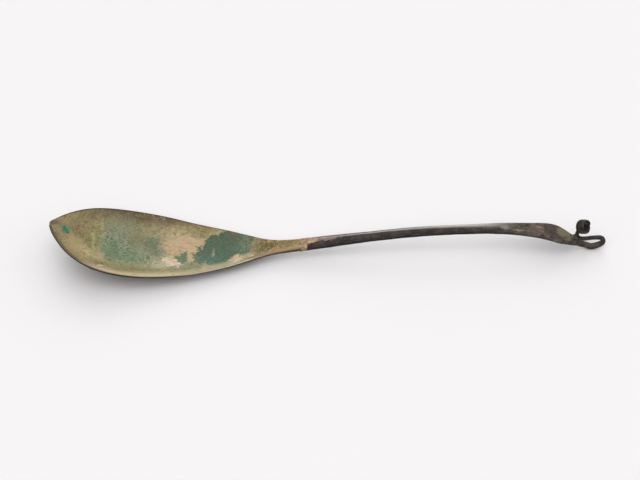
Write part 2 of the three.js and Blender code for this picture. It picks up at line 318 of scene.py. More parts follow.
# Each patch of the bowl, in millimetres on the spoon: kind, colour, centre, reach to each side,
# raggedness, size of its edge's grain, softness of the edge, strength.
BOWL_PATCHES = (
    # Painted shade: a dark brown band along the far inner wall, which faces away from the back light.
    ("plain", SHADE_AND_UNDERSIDE_BROWN, (-80, 21.5), (42, 6.6), 0.2, 9, 0.8, 0.92),
    ("plain", BRASS_GOLD, (-114, -5.5), (7.5, 6.5), 0.35, 5, 0.4, 0.75),
    ("plain", BRASS_OLIVE, (-111, 9), (6.5, 5), 0.5, 3, 0.3, 0.5),
    ("plain", YELLOW_GREEN, (-106.2, 2), (4.4, 8.5), 1.0, 1.8, 0.2, 0.6),
    ("plain", OLIVE_DARK, (-106.2, 3.5), (2, 5.5), 1.6, 0.9, 0.1, 0.4),
    ("plain", OLIVE_DARK, (-109.5, 1.5), (2.2, 2.4), 1.6, 1.0, 0.1, 0.35),
    ("plain", VEIN_YELLOW, (-107.8, 1.5), (0.8, 9), 1.0, 1.6, 0.3, 0.55),
    ("plain", BRASS_PALE, (-104, 10.5), (0.7, 4), 1.0, 1.6, 0.3, 0.5),
    ("green", GREY_GREEN, (-94.3, 2.2), (10.4, 12.2), 0.3, 4, 0.14, 0.85),
    ("green", GREY_GREEN, (-84, 1.5), (9, 11.5), 0.3, 5, 0.4, 0.8),
    ("green", GREY_GREEN, (-94, 9), (9, 6), 0.5, 3, 0.5, 0.5),
    ("plain", BRASS_OLIVE, (-88, 8), (6, 4), 0.5, 4, 0.5, 0.6),
    ("green", LEAF_GREEN, (-99.6, 1.5), (3.6, 7.5), 0.75, 2.2, 0.3, 0.6),
    ("plain", BRASS_OLIVE, (-95, 14), (13, 4.5), 0.7, 2.6, 0.4, 0.3),
    ("green", GREY_GREEN, (-95.5, 13.5), (8, 4.5), 0.7, 3, 0.4, 0.4),
    ("green", LEAF_GREEN, (-92, -2), (5, 4.5), 0.8, 2.6, 0.4, 0.45),
    ("green", LEAF_GREEN, (-80, 7.5), (4.2, 3), 0.7, 2.4, 0.4, 0.5),
    ("plain", YELLOW_GREEN, (-84, -9.2), (22, 2.8), 0.4, 3, 0.5, 0.6),
    ("green", GREY_GREEN, (-66, -6.5), (14, 3.6), 0.6, 2.4, 0.3, 0.6),
    ("plain", TURQUOISE, (-119.5, 4.7), (1.6, 2.1), 0.6, 1.4, 0.25, 0.95),
    ("plain", SPECK_GREEN, (-119.9, 3.9), (0.9, 1.3), 1.4, 0.8, 0.2, 0.55),
    ("pink", PINK_TAN, (-105.4, -4.4), (2.2, 3.6), 0.8, 1.6, 0.2, 0.35),
    ("pink", PINK_WHITE, (-103.9, -13.0), (1.5, 0.9), 0.6, 1.5, 0.2, 0.7),
    ("pink", PINK_TAN, (-67.2, 5.8), (10.6, 5.4), 0.35, 3, 0.2, 1.0),
    ("pink", PINK_WHITE, (-72.0, -3.8), (4.1, 2.8), 1.1, 1.6, 0.3, 0.85),
    ("pink", ROSE, (-71.4, -4.0), (1.5, 0.9), 0.8, 1.0, 0.3, 0.6),
    ("plain", PINK_WHITE, (-78, -5.5), (4.2, 4), 1.7, 0.8, 0.1, 0.4),
    ("plain", OLIVE_DARK, (-79.5, 3.2), (4.5, 5), 1.7, 0.9, 0.1, 0.35),
    ("green", LEAF_GREEN, (-68, -0.4), (3.1, 3.4), 0.7, 2, 0.12, 0.9),
    ("pink", PINK_TAN, (-64.2, -1.2), (1.9, 2.8), 0.6, 1.8, 0.12, 0.9),
    ("green", BLUE_GREEN, (-58.6, -0.6), (4.6, 4.4), 0.5, 2.2, 0.1, 0.9),
    ("green", DARK_GREEN, (-48.5, 2.6), (11.6, 9), 0.38, 3.5, 0.07, 1.0),
    ("green", DARK_GREEN, (-41.5, 7.5), (8, 5), 0.3, 3, 0.08, 0.95),
    ("green", BLUE_GREEN, (-53, -3), (3.6, 4), 0.6, 2.2, 0.2, 0.7),
    ("green", BLUE_GREEN, (-42.2, 2.6), (3.4, 2), 0.7, 1.6, 0.2, 0.7),
    ("plain", BRASS_OLIVE, (-41, 5), (5, 5.5), 1.7, 0.9, 0.1, 0.2),
    ("green", GREY_GREEN, (-38.2, 4.2), (2.8, 4.8), 1.7, 0.8, 0.1, 0.5),
    ("plain", BRASS_PALE, (-57.4, -9), (1.6, 4.2), 0.6, 2, 0.2, 0.8),
    ("pink", TAN_PATCH, (-40.2, -4.2), (6, 3.2), 0.5, 2, 0.15, 0.9),
    ("green", GREY_GREEN, (-38.5, -2.6), (2.4, 1.2), 0.8, 1.2, 0.2, 0.6),
    ("plain", BRASS_OLIVE, (-38, -6.6), (4, 2.4), 0.7, 1.8, 0.2, 0.7),
    ("green", LEAF_GREEN, (-39.4, -1), (2.6, 1), 0.6, 1.4, 0.15, 0.8),
    ("pink", PINK_TAN, (-53.4, 1.4), (0.8, 2.5), 0.5, 1.6, 0.25, 0.5),
    ("plain", RUST, (-43.5, 10.4), (2.4, 0.9), 0.5, 2, 0.2, 0.7),
    ("plain", BRASS_OLIVE, (-58, 14), (9, 3), 0.5, 2.5, 0.4, 0.75),
    ("plain", BRASS_OLIVE, (-49.5, -8), (3.4, 1.8), 0.8, 1.6, 0.2, 0.6),
    ("plain", NECK_GOLD, (-20, 0), (11, 7), 0.3, 3, 0.2, 0.9),
    ("plain", OLIVE_DARK, (-28.5, 1), (3.8, 3.6), 1.8, 1.1, 0.12, 0.8),
    ("plain", OLIVE_DARK, (-20, 1), (6, 2.6), 1.7, 1.0, 0.12, 0.65),
)

# The height of the centres of the bowl's patches, and how far up and down they reach.
CRUST_HEIGHT = 8
CRUST_REACH = 30
BOWL_BUMP = 0.18 * MM


def bowl_finish(ragged_patch, speckle, scratches):
    """Dull yellow bronze under ragged mineral crusts, brown underneath."""
    material, sheet, shader = new_material("bowl_metal")
    place = sheet.millimetres()
    along, across, _ = sheet.parts(place)
    hollow = sheet.smooth(sheet.weight("hollow"), 0.25, 0.75)
    rim = sheet.weight("rim")
    broad = sheet.noise(place, 14, 3)
    middle = sheet.noise(place, 4.5, 5, 0.65)
    fine = sheet.noise(place, 1.5, 5, 0.7)
    grain = sheet.noise(place, 0.45, 3)
    scratch = sheet.group(scratches, Place=place, Width=0.35, Length=9.0)
    near_side = sheet.smooth(across, 0.0, -7.0)
    near_side_of_neck = sheet.times(sheet.smooth(across, 0.0, -1.0), sheet.smooth(rim, 0.8, 0.95))

    colour = sheet.mix(sheet.smooth(broad, 0.38, 0.62), BRASS, BRASS_WARM)
    colour = sheet.mix(sheet.times(sheet.smooth(middle, 0.5, 0.62), 0.6), colour, BRASS_OLIVE)
    colour = sheet.mix(sheet.times(sheet.smooth(fine, 0.55, 0.68), 0.35), colour, OLIVE_DARK)
    colour = sheet.mix(sheet.times(scratch, 0.3), colour, BRASS_LIGHT)

    under = sheet.mix(sheet.smooth(broad, 0.35, 0.65), UNDER_BROWN, SHADE_AND_UNDERSIDE_BROWN)
    under = sheet.mix(sheet.times(sheet.smooth(fine, 0.5, 0.7), 0.6), under, BRASS_OLIVE)
    swirled = sheet.swirl(sheet.swirl(place, 4.0, 4.0), 1.1, 1.4)
    kinds = CRUST_KINDS["plain"]
    for kind, tint, (x, y), (reach_along, reach_across), ragged, size, soft, strength in BOWL_PATCHES:
        mask = sheet.group(
            ragged_patch, Place=swirled, Centre=(x, y, CRUST_HEIGHT),
            Reach=(reach_along, reach_across, CRUST_REACH), Ragged=ragged, Grain=size, Soft=soft,
        )
        mask = sheet.times(mask, strength)
        colour = sheet.mix(mask, colour, tint)
        kinds = sheet.mix(mask, kinds, CRUST_KINDS[kind])
    green, pink, _ = sheet.parts(kinds)
    crust = sheet.math("ADD", green, pink, clamp=True)
    tip_band = sheet.times(
        sheet.smooth(rim, 0.65, 0.75), sheet.smooth(along, -107.0, -117.0),
        sheet.smooth(across, 8.5, 5.5),
    )
    colour = sheet.mix(sheet.times(tip_band, 0.8), colour, TIP_GREY)
    scattered = sheet.smooth(middle, 0.36, 0.56)
    dark_specks = sheet.group(speckle, Place=place, Size=1.0, Share=0.42, Soft=0.03)
    dark_specks = sheet.times(dark_specks, sheet.level(scattered, 0.2, 0.8))
    colour = sheet.mix(sheet.times(dark_specks, green), colour, SPECK_GREEN)
    shifted = sheet.vector("ADD", place, (31.0, 17.0, 5.0))
    brown_specks = sheet.group(speckle, Place=shifted, Size=1.3, Share=0.4, Soft=0.03)
    brown_specks = sheet.times(brown_specks, scattered, 0.45)
    colour = sheet.mix(sheet.times(brown_specks, sheet.math("SUBTRACT", 1.0, crust)), colour, OLIVE_DARK)
    shifted = sheet.vector("ADD", place, (11.0, -27.0, 9.0))
    pale_specks = sheet.group(speckle, Place=shifted, Size=0.9, Share=0.3, Soft=0.05)
    pale_specks = sheet.times(
        pale_specks, sheet.level(scattered, 0.5, 0.15), sheet.level(green, 1.0, 0.35))
    colour = sheet.mix(pale_specks, colour, BRASS_PALE)
    drawn = sheet.vector("MULTIPLY", shifted, (0.25, 1.0, 1.0))
    dashes = sheet.group(speckle, Place=drawn, Size=1.1, Share=0.28, Soft=0.08)
    colour = sheet.mix(sheet.times(dashes, pink, 0.32), colour, RUST)
    colour = sheet.shade(colour, sheet.level(middle, 0.74, 1.28))
    colour = sheet.shade(colour, sheet.level(fine, 0.86, 1.15))
    # Painted light: the near wall, which faces the back light, is painted a light tan towards its rim.
    to_neck = sheet.smooth(along, -76.0, -62.0)
    tan = sheet.times(sheet.smooth(rim, 0.1, 0.7), near_side, sheet.level(to_neck, 0.9, 0.65))
    tan = sheet.times(tan, sheet.smooth(along, -116.0, -100.0), sheet.smooth(along, -34.0, -44.0))
    near_lit_colour = sheet.mix(sheet.smooth(along, -98.0, -80.0), NEAR_LIT_TAN, NEAR_LIT_PALE)
    colour = sheet.mix(sheet.times(tan, sheet.smooth(fine, 0.25, 0.5)), colour, near_lit_colour)
    # The cut edge of the sheet: brown in front, tan in the middle, and towards the neck a painted
    # highlight, where the rounded lip catches the light.
    cut_edge = sheet.times(
        sheet.smooth(rim, 0.86, 0.9), near_side, sheet.smooth(along, -30.0, -37.0))
    cut_edge_and_highlight_colour = sheet.mix(to_neck, EDGE_TAN, LIP_HIGHLIGHT)
    in_front = sheet.times(sheet.smooth(along, -82.0, -92.0), sheet.smooth(along, -116.0, -106.0))
    cut_edge_and_highlight_colour = sheet.mix(in_front, cut_edge_and_highlight_colour, RIM_BROWN)
    colour = sheet.mix(sheet.times(cut_edge, 0.85), colour, cut_edge_and_highlight_colour)
    corner = sheet.times(sheet.smooth(rim, 0.93, 0.975), sheet.level(to_neck, 0.85, 0.3))
    colour = sheet.mix(corner, colour, RIM_BROWN)
    # Painted shade: the near side of the neck, turned away from the light, is painted a duller brown.
    neck_side_shade = sheet.times(sheet.smooth(along, -38.0, -31.0), near_side_of_neck, 0.8)
    colour = sheet.mix(neck_side_shade, colour, NECK_SHADE_BROWN)
    colour = sheet.mix(hollow, under, colour)
    edge_brown = sheet.times(sheet.smooth(sheet.weight("edge"), 0.02, 0.3), 0.95)
    colour = sheet.mix(edge_brown, colour, RIM_BROWN)

    bare = sheet.math("SUBTRACT", 1.0, crust, clamp=True)
    metal = sheet.times(bare, 0.55)
    rough = sheet.math("MULTIPLY_ADD", crust, 0.32, 0.42)
    rough = sheet.math("MULTIPLY_ADD", sheet.math("SUBTRACT", fine, 0.5), 0.4, rough)
    height = sheet.math("MULTIPLY_ADD", grain, 0.35, sheet.times(fine, 0.7))
    for hollows, depth in ((dark_specks, -0.5), (brown_specks, -0.6), (scratch, -0.25)):
        height = sheet.math("MULTIPLY_ADD", hollows, depth, height)
    bump = sheet.add("ShaderNodeBump", {"Strength": 0.8, "Distance": BOWL_BUMP, "Height": height})
    sheet.feed(shader, {"Base Color": colour, "Metallic": metal, "Roughness": rough, "Normal": bump})
    return material


HANDLE_BLACK = srgb(46, 40, 38)
HANDLE_BROWN = srgb(66, 58, 54)
# Pale grey of the rubbed band, partly a painted highlight.
WORN_AND_HIGHLIGHT_GREY = srgb(206, 202, 196)
BLADE_OLIVE = srgb(104, 97, 80)
BLADE_GREEN = srgb(118, 112, 86)
BLADE_RUST = srgb(112, 88, 76)
FLECK_PALE = srgb(176, 168, 152)
STAIN_TAN = srgb(170, 150, 124)

# Each patch of the handle, as for the bowl but without a kind, and with heights.
HANDLE_PATCHES = (
    (BLADE_RUST, (95, 0.5, 16), (4, 3.4, 9), 0.4, 3, 0.4, 0.5),
    (HANDLE_BROWN, (102, 0, 12), (4.2, 5, 9), 0.4, 3, 0.4, 0.7),
    (BLADE_GREEN, (107, 1.2, 9), (3.8, 3.2, 9), 0.6, 2.2, 0.4, 0.75),
    (FLECK_PALE, (79.5, -0.8, 17), (1.5, 1.1, 4), 1.6, 0.8, 0.1, 0.35),
    (FLECK_PALE, (85.5, -2.0, 16), (2.4, 0.5, 4), 1.6, 1.4, 0.1, 0.35),
    (FLECK_PALE, (95.5, 1.4, 14), (2.2, 0.5, 4), 1.2, 1.0, 0.1, 0.3),
    # The olive of the eye's lower strand is its own colour, kept to the strand's top as painted light,
    # with its underside left dark.
    (BLADE_OLIVE, (120, -0.3, 4), (4.6, 1.8, 1.7), 0.4, 2, 0.4, 0.6),
    (HANDLE_BLACK, (114.6, 1.5, 9.4), (2.6, 3, 2.2), 0.2, 2, 0.3, 0.9),
    (STAIN_TAN, (-1.5, -0.2, 9.5), (5.5, 0.8, 3), 0.9, 1.6, 0.3, 0.45),
)

HANDLE_BUMP = 0.14 * MM
HANDLE_SHINE = 0.14


def handle_finish(ragged_patch, speckle, scratches):
    """Forged bronze gone nearly black, rubbed bright along its top with a painted highlight there, olive
    on the blade, and painted shade towards the bar's underside.
    """
    material, sheet, shader = new_material("handle_metal")
    place = sheet.millimetres()
    along = sheet.parts(place)[0]
    across = sheet.weight("across")
    raised = sheet.weight("raised")
    broad = sheet.noise(place, 9, 3)
    middle = sheet.noise(place, 3.5, 5, 0.65)
    fine = sheet.noise(place, 1.3, 5, 0.7)
    grain = sheet.noise(place, 0.4, 3)
    scratch = sheet.group(scratches, Place=place, Width=0.3, Length=7.0)

    colour = sheet.mix(sheet.smooth(middle, 0.38, 0.62), HANDLE_BLACK, HANDLE_BROWN)
    blade = sheet.times(sheet.smooth(along, 72.0, 92.0), sheet.smooth(along, 121.0, 112.0))
    olive = sheet.times(blade, sheet.smooth(middle, 0.35, 0.65), 0.6)
    colour = sheet.mix(olive, colour, BLADE_OLIVE)
    swirled = sheet.swirl(place, 3.0, 2.5)
    for tint, centre, reach, ragged, size, soft, strength in HANDLE_PATCHES:
        mask = sheet.group(
            ragged_patch, Place=swirled, Centre=centre, Reach=reach, Ragged=ragged, Grain=size,
            Soft=soft,
        )
        colour = sheet.mix(sheet.times(mask, strength), colour, tint)
    flecks = sheet.group(speckle, Place=place, Size=1.0, Share=0.2, Soft=0.03)
    flecks = sheet.times(flecks, sheet.smooth(middle, 0.5, 0.62), sheet.level(blade, 0.2, 0.6))
    colour = sheet.mix(flecks, colour, FLECK_PALE)
    # Painted shade: the bar darkens from its lit top to its underside, and the wire keeps almost one tone
    # all round.
    wire = sheet.times(sheet.smooth(along, 110.0, 116.0), 0.85)
    painted_top_light = sheet.math("MAXIMUM", sheet.smooth(raised, 0.15, 0.85), wire)
    colour = sheet.shade(colour, sheet.level(painted_top_light, 0.1, 1.1))
    colour = sheet.shade(colour, sheet.level(fine, 0.7, 1.3))
    # The bar is rubbed in a band along the far half of its top, which widens towards the blade; the
    # band's pale colour is partly a painted highlight, soft towards its near edge.
    swing = sheet.times(sheet.math("SUBTRACT", broad, 0.5), 0.12)
    over = sheet.math("ADD", across, swing)
    widening = sheet.smooth(along, 10.0, 70.0)
    near_edge = sheet.smooth(over, sheet.level(widening, 0.5, 0.15), sheet.level(widening, 0.66, 1.0))
    # A dark line in the band fades out past the middle of the shaft.
    line = sheet.math("ABSOLUTE", sheet.math("SUBTRACT", over, 0.78))
    line = sheet.smooth(line, 0.03, 0.09)
    line = sheet.math("MAXIMUM", line, sheet.smooth(along, 34.0, 56.0))
    rubbed_and_highlight = sheet.times(near_edge, sheet.level(line, 0.35, 1.0), sheet.smooth(raised, 0.6, 0.8))
    rubbed_and_highlight = sheet.times(rubbed_and_highlight, sheet.smooth(fine, 0.2, 0.45), sheet.smooth(along, 88.0, 64.0))
    highlight_brightness = sheet.level(sheet.smooth(along, 5.0, 60.0), 0.45, 0.98)
    colour = sheet.mix(sheet.times(rubbed_and_highlight, highlight_brightness), colour, WORN_AND_HIGHLIGHT_GREY)
    colour = sheet.mix(sheet.times(scratch, sheet.level(rubbed_and_highlight, 0.1, 0.3)), colour, WORN_AND_HIGHLIGHT_GREY)

    metal = sheet.times(rubbed_and_highlight, 0.7)
    rough = sheet.math("MULTIPLY_ADD", rubbed_and_highlight, -0.14, 0.5)
    rough = sheet.math("MULTIPLY_ADD", sheet.math("SUBTRACT", fine, 0.5), 0.4, rough)
    height = sheet.math("MULTIPLY_ADD", grain, 0.35, sheet.times(fine, 0.8))
    height = sheet.math("MULTIPLY_ADD", flecks, 0.4, height)
    height = sheet.math("MULTIPLY_ADD", scratch, -0.25, height)
    bump = sheet.add("ShaderNodeBump", {"Strength": 0.8, "Distance": HANDLE_BUMP, "Height": height})
    sheet.feed(shader, {"Base Color": colour, "Metallic": metal, "Roughness": rough, "Normal": bump})
    sheet.feed(shader, {"Specular IOR Level": HANDLE_SHINE})
    return material


SOLDER_TAN = srgb(176, 148, 116)
SOLDER_PALE = srgb(198, 176, 148)
SOLDER_BROWN = srgb(118, 94, 70)
SOLDER_PINK = srgb(196, 168, 138)
SOLDER_METALLIC = 0.35
SOLDER_BUMP = 0.15 * MM


def solder_finish(speckle):
    """Rough tan solder, brown in its hollows, pinkish towards the handle and dark underneath."""
    material, sheet, shader = new_material("solder")
    place = sheet.millimetres()
    fine = sheet.noise(place, 1.4, 5, 0.65)
    grain = sheet.noise(place, 0.35, 3)
    along, _, above = sheet.parts(place)
    tan = sheet.mix(sheet.smooth(along, -13.2, -10.8), SOLDER_TAN, SOLDER_PINK)
    colour = sheet.mix(sheet.smooth(fine, 0.35, 0.6), SOLDER_BROWN, tan)
    pale_specks = sheet.group(speckle, Place=place, Size=1.2, Share=0.35, Soft=0.06)
    colour = sheet.mix(pale_specks, colour, SOLDER_PALE)
    colour = sheet.mix(sheet.smooth(above, 7.0, 6.0), colour, OLIVE_DARK)
    rough = sheet.level(grain, 0.5, 0.85)
    height = sheet.math("MULTIPLY_ADD", grain, 0.4, fine)
    bump = sheet.add("ShaderNodeBump", {"Strength": 0.7, "Distance": SOLDER_BUMP, "Height": height})
    sheet.feed(shader, {"Base Color": colour, "Roughness": rough, "Normal": bump})
    sheet.feed(shader, {"Metallic": SOLDER_METALLIC})
    return material


# Modelling helpers

WEAR_HEIGHT = 0.02 * MM
MERGE_DISTANCE = 0.001 * MM
SMOOTH_ANGLE = math.radians(50)


def select_only(*pieces):
    """Deselects everything, selects these pieces and makes the first of them active."""
    bpy.ops.object.select_all(action="DESELECT")
    for piece in pieces:
        piece.select_set(True)
    bpy.context.view_layer.objects.active = pieces[0]


def open_for_edit(piece):
    select_only(piece)
    bpy.ops.object.mode_set(mode="EDIT")


def close_edit():
    bpy.ops.object.mode_set(mode="OBJECT")


def choose(piece, wanted):
    """Selects the vertices that wanted() says yes to, and the edges and faces between them."""
    bpy.ops.mesh.select_all(action="DESELECT")
    mesh = bmesh.from_edit_mesh(piece.data)
    for vertex in mesh.verts:
        vertex.select_set(wanted(vertex))
    mesh.select_flush_mode()
    bmesh.update_edit_mesh(piece.data)


def apply_modifier(piece, kind, **settings):
    select_only(piece)
    modifier = piece.modifiers.new(kind.lower(), kind)
    for name, value in settings.items():
        setattr(modifier, name, value)
    bpy.ops.object.modifier_apply(modifier=modifier.name)


def subdivide(piece, levels):
    apply_modifier(piece, "SUBSURF", levels=levels, render_levels=levels)


def displace(piece, name, marks, group="", kind="CLOUDS", **settings):
    """Works marks into the surface, by a texture: marks says how wide and how deep they are."""
    width, depth = marks
    pattern = bpy.data.textures.new(name, kind)
    pattern.noise_scale = width
    for key, value in settings.items():
        setattr(pattern, key, value)
    apply_modifier(
        piece, "DISPLACE", texture=pattern, texture_coords="LOCAL", strength=depth, mid_level=0.5,
        vertex_group=group,
    )


def face_outwards():
    """Selects the whole of the open mesh and turns its faces outwards."""
    bpy.ops.mesh.select_all(action="SELECT")
    bpy.ops.mesh.normals_make_consistent(inside=False)


def new_weights(piece, *names):
    return [piece.vertex_groups.new(name=name) for name in names]


def wear_flat(piece):
    """Flattens what would touch the table or reach into it."""
    open_for_edit(piece)
    choose(piece, lambda vertex: vertex.co.z < WEAR_HEIGHT)
    bpy.ops.transform.resize(value=(1, 1, 0), center_override=(0, 0, 0))
    close_edit()


def merged_copy(name, *nodes):
    """One mesh with the shape of some CAD nodes, to press a sheet on to."""
    copies = []
    for node in nodes:
        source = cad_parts[node]
        copy = bpy.data.objects.new(name, source.data.copy())
        copy.matrix_world = source.matrix_world
        bpy.context.scene.collection.objects.link(copy)
        copies.append(copy)
    select_only(*copies)
    bpy.ops.object.join()
    body = copies[0]
    open_for_edit(body)
    bpy.ops.mesh.select_all(action="SELECT")
    bpy.ops.mesh.remove_doubles(threshold=MERGE_DISTANCE)
    close_edit()
    return body


def frame_edges(*nodes):
    """The two ends of every edge of some CAD nodes."""
    ends = []
    for node in nodes:
        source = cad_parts[node]
        corners = np.array([source.matrix_world @ vertex.co for vertex in source.data.vertices])
        pairs = np.array([edge.vertices[:] for edge in source.data.edges])
        ends.append(corners[pairs])
    return np.concatenate(ends)


def cut(edges, x):
    """The lowest and highest (y, z) of the CAD solids where the plane at x cuts them."""
    start, end = edges[:, 0], edges[:, 1]
    crossing = (start[:, 0] - x) * (end[:, 0] - x) < 0
    start, end = start[crossing], end[crossing]
    share = ((x - start[:, 0]) / (end[:, 0] - start[:, 0]))[:, None]
    points = (start + (end - start) * share)[:, 1:]
    return points.min(axis=0), points.max(axis=0)


def finish_piece(piece, material, slot, *nodes):
    """Smooths the piece, gives it its finish, hangs it under the root body and hides the CAD nodes that
    it takes the place of.
    """
    select_only(piece)
    bpy.ops.object.shade_smooth_by_angle(angle=SMOOTH_ANGLE)
    piece.data.materials.clear()
    piece.data.materials.append(material)
    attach(piece, "root")
    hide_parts(*nodes)


# The bowl and its neck, one sheet of metal

TIP_PLACE = -126.6 * MM
NECK_START = -33.6 * MM
NECK_END = -12.4 * MM
BOWL_ROWS = 60
BOWL_COLUMNS = 24
# The rows lie closer together towards the tip.
TIP_CROWDING = 1.3
# How far the first rows are narrowed, and moved across, to round the tip.
TIP_ROUNDING = {0: (0.5, 0.2 * MM), 1: (0.88, 0.1 * MM)}
# The sheets end just inside the outline, and the swelling of the wall between them makes up for it.
OUTLINE_SHARE = 0.98
RIM_SWELL = 0.28 * MM
# How far ahead of the metal's middle the inner sheet lies, at the tip and at the slanted joint.
TIP_LEAN = 0.17 * MM
TIP_LEAN_LENGTH = 3 * MM
SCARF_LEAN = 1.6 * MM
# The sheets start this far off, above or below, and are then pressed on.
PRESS_START = 50 * MM
# How far in the rim and edge weights reach.
RIM_BAND = 10 * MM
EDGE_BAND = 2 * MM
# The marks of the work: how wide and how deep.
PLANISHING = (6 * MM, 0.12 * MM)
BOWL_WAVES = (20 * MM, 0.2 * MM)
BOWL_GRAIN = (1.6 * MM, 0.05 * MM)


def bowl_row_places():
    length = NECK_END - TIP_PLACE
    return [TIP_PLACE + length * (i / BOWL_ROWS) ** TIP_CROWDING for i in range(BOWL_ROWS + 1)]


def row_lean(x):
    """How far a row of the inner sheet lies ahead of the middle of the metal."""
    tip = TIP_LEAN * math.exp((TIP_PLACE - x) / TIP_LEAN_LENGTH)
    scarf = SCARF_LEAN * max(0, (x - NECK_START) / (NECK_END - NECK_START))
    return tip + scarf


def bowl_sheet(name, upward, edges, solid):
    """The inner or the outer side of the bowl: a grid laid on its outline, then pressed on to it."""
    bpy.ops.mesh.primitive_grid_add(x_subdivisions=BOWL_ROWS, y_subdivisions=BOWL_COLUMNS, size=2)
    sheet = bpy.context.object
    sheet.name = name
    corners = [vertex.co for vertex in sheet.data.vertices]
    row_of = [round((co.x + 1) / 2 * BOWL_ROWS) for co in corners]
    column_of = [round((co.y + 1) / 2 * BOWL_COLUMNS) for co in corners]
    across = [2 * i / BOWL_COLUMNS - 1 for i in range(BOWL_COLUMNS + 1)]
    widths = []
    open_for_edit(sheet)
    for i, place in enumerate(across):
        choose(sheet, lambda vertex: column_of[vertex.index] == i)
        bpy.ops.transform.translate(value=(0, math.sin(math.pi / 2 * place) - place, 0))
    for i, x in enumerate(bowl_row_places()):
        x += upward * row_lean(x)
        low, high = cut(edges, x)
        half = (high[0] - low[0]) / 2
        middle = (high[0] + low[0]) / 2
        share, shift = TIP_ROUNDING.get(i, (1, 0))
        half *= share
        middle += shift
        widths.append(half)
        start = 2 * i / BOWL_ROWS - 1
        choose(sheet, lambda vertex: row_of[vertex.index] == i)
        bpy.ops.transform.resize(value=(1, half * OUTLINE_SHARE, 1), center_override=(0, 0, 0))
        bpy.ops.transform.translate(value=(x - start, middle, upward * PRESS_START))
    close_edit()
    apply_modifier(
        sheet, "SHRINKWRAP", target=solid, wrap_method="PROJECT", use_project_z=True,
        use_positive_direction=upward < 0, use_negative_direction=upward > 0,
    )
    hollow, belly, rim, edge = new_weights(sheet, "hollow", "belly", "rim", "edge")
    for vertex in sheet.data.vertices:
        column = across[column_of[vertex.index]]
        inwards = widths[row_of[vertex.index]] * (1 - abs(math.sin(math.pi / 2 * column)))
        (hollow if upward > 0 else belly).add([vertex.index], 1, "REPLACE")
        rim.add([vertex.index], max(0, 1 - inwards / RIM_BAND), "REPLACE")
        if upward < 0:
            edge.add([vertex.index], max(0, 1 - inwards / EDGE_BAND), "REPLACE")
    return sheet


def make_bowl():
    edges = frame_edges("bowl", "neck", "handle_shaft")
    solid = merged_copy("bowl_solid", "bowl", "neck", "handle_shaft")
    bowl = bowl_sheet("bowl_with_neck", 1, edges, solid)
    outside = bowl_sheet("bowl_outside", -1, edges, solid)
    bpy.data.objects.remove(solid)
    select_only(bowl, outside)
    bpy.ops.object.join()
    sheets_end = len(bowl.data.vertices)
    open_for_edit(bowl)
    bpy.ops.mesh.select_mode(type="EDGE")
    bpy.ops.mesh.select_all(action="DESELECT")
    mesh = bmesh.from_edit_mesh(bowl.data)
    for edge in mesh.edges:
        edge.select_set(edge.is_boundary)
    bmesh.update_edit_mesh(bowl.data)
    bpy.ops.mesh.bridge_edge_loops(number_cuts=1, interpolation="LINEAR")
    bpy.ops.mesh.select_mode(type="VERT")
    face_outwards()
    choose(bowl, lambda vertex: vertex.index >= sheets_end)
    bpy.ops.transform.shrink_fatten(value=RIM_SWELL)
    close_edit()
    wall = [vertex.index for vertex in bowl.data.vertices if vertex.index >= sheets_end]
    bowl.vertex_groups["rim"].add(wall, 1, "REPLACE")
    bowl.vertex_groups["edge"].add(wall, 1, "REPLACE")
    subdivide(bowl, 2)
    displace(bowl, "planishing", PLANISHING, "belly", "VORONOI", distance_metric="DISTANCE")
    displace(bowl, "waves", BOWL_WAVES, noise_depth=1)
    displace(bowl, "hammered_grain", BOWL_GRAIN, noise_depth=2)
    wear_flat(bowl)
    return bowl


# The handle, drawn out of one bar

SHAFT_START = -12.0 * MM
BLADE_START = 78.6 * MM
BLADE_END = 114.6 * MM
SHAFT_STATIONS = 36
BLADE_STATIONS = 24
EYE_STATIONS = 40
ROLL_STATIONS = 40
SCARF_SLOPE = 1.1
SCARF_FADE = 21 * MM
# How far to each side the bar's slope is measured.
SLOPE_STEP = 0.8 * MM
CORNER_SHARE = 0.3
CORNER_STEPS = 4
# How many corners a section's outline has.
RING = 4 * (CORNER_STEPS + 1)
# The share of the hammer's marks that the wire and the bar's first section take.
WIRE_FORGING = 0.2
# The marks of the work: how wide and how deep.
HAMMER_BLOWS = (5 * MM, 0.16 * MM)
FORGE_SCALE = (1.2 * MM, 0.05 * MM)

EYE_LENGTH = 12.4 * MM
EYE_LEAN = 0.4 * MM
EYE_WIRE = 2.7 * MM
END_WIRE = 1.8 * MM
EYE_LOW = 1.4 * MM
EYE_HIGH = 7.3 * MM
EYE_TOE = 1 * MM
WIRE_HEIGHT = 3.8 * MM
ROLL_AXIS = Vector((0.7, -0.53, 0.47)).normalized()
ROLL_CENTRE = Vector((115.48, 0, 13.9)) * MM
ROLL_OUTSIDE = 3.4 * MM
ROLL_PITCH = 1.35 * MM
ROLL_TURNS = 1.3
ROLL_WIDTH = 4.2 * MM
ROLL_STRIP = 1.0 * MM
TURN_POINTS = 12
LINE_STEPS = 20
# How far to each side the wire's direction is measured, as a share of its length.
DIRECTION_STEP = 0.002


def section_frame(side, upward):
    """The matrix whose columns are a section's side, its upward direction and the way ahead."""
    return Matrix((side, upward, side.cross(upward))).transposed()


